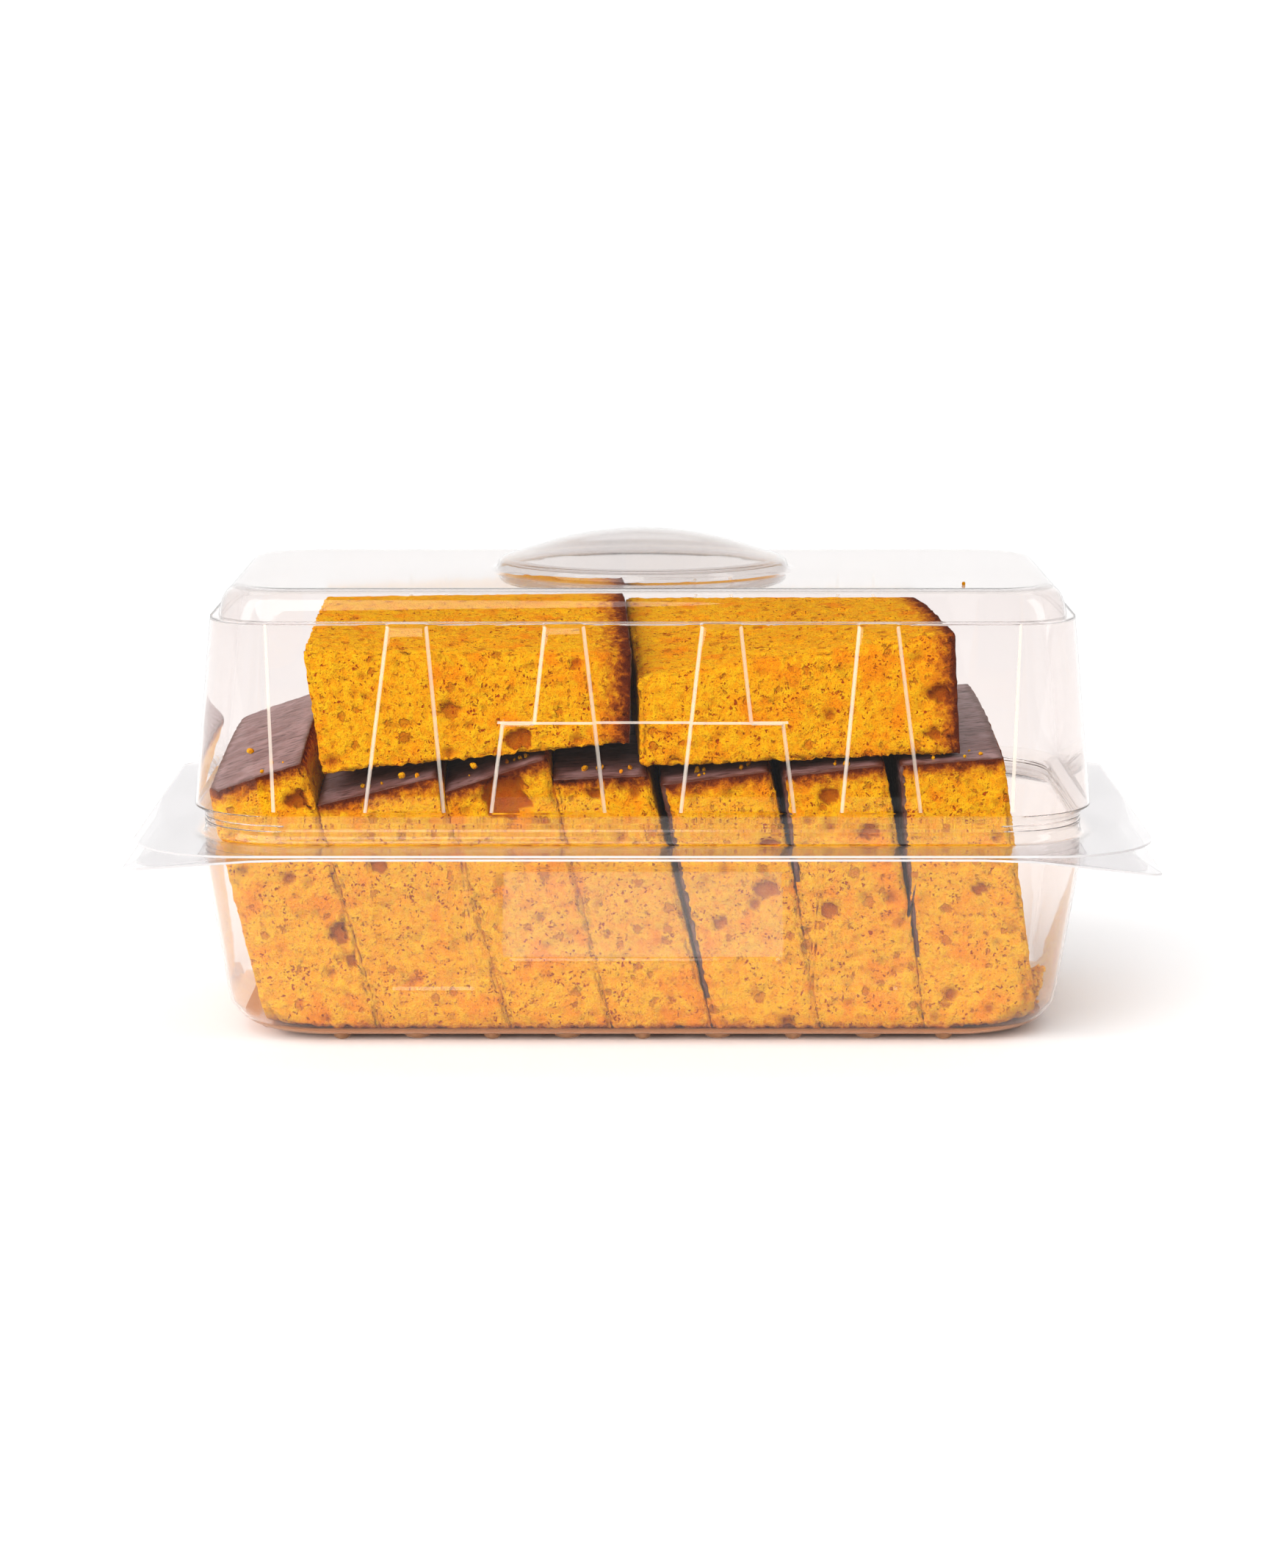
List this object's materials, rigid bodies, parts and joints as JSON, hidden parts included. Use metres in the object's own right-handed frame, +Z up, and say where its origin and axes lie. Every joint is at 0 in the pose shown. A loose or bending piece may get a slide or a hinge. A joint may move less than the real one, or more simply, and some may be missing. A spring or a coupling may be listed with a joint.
{
  "type": "sliced carrot cake in clear hinged box",
  "caption": "Sliced carrot cake in a clear box: leaning slices stand in a ribbed tray and more lie on top, under a deep hinged lid with a round raised centre.",
  "frame": {"origin": "middle of the box's plan, on the surface that its ribs stand on", "axes": "+X along the box, to the right of the picture; +Z up; -Y is the front that the picture shows, and the hinge is at the back, +Y"},
  "size_m": [0.235, 0.135, 0.1156],
  "materials": {
    "clear_sheet": "clear thin formed sheet, glossy, slightly hazy",
    "cake_crumb": "open orange-yellow cake crumb with a thin brown crust on top"
  },
  "bodies": {
    "tray": {"base_tray": "clear_sheet", "slice_row_1": "cake_crumb", "slice_row_2": "cake_crumb", "slice_row_3": "cake_crumb", "slice_row_4": "cake_crumb", "slice_row_5": "cake_crumb", "slice_row_6": "cake_crumb", "slice_row_7": "cake_crumb", "slice_top_left": "cake_crumb", "slice_top_right": "cake_crumb"},
    "lid": {"lid_shell": "clear_sheet"}
  },
  "joints": [
    {"name": "lid_hinge", "type": "hinge", "parent": "tray", "child": "lid", "pos_m": [0, 0.0675, 0.04775], "axis": [-1, 0, 0], "range_deg": [0, 160]}
  ]
}
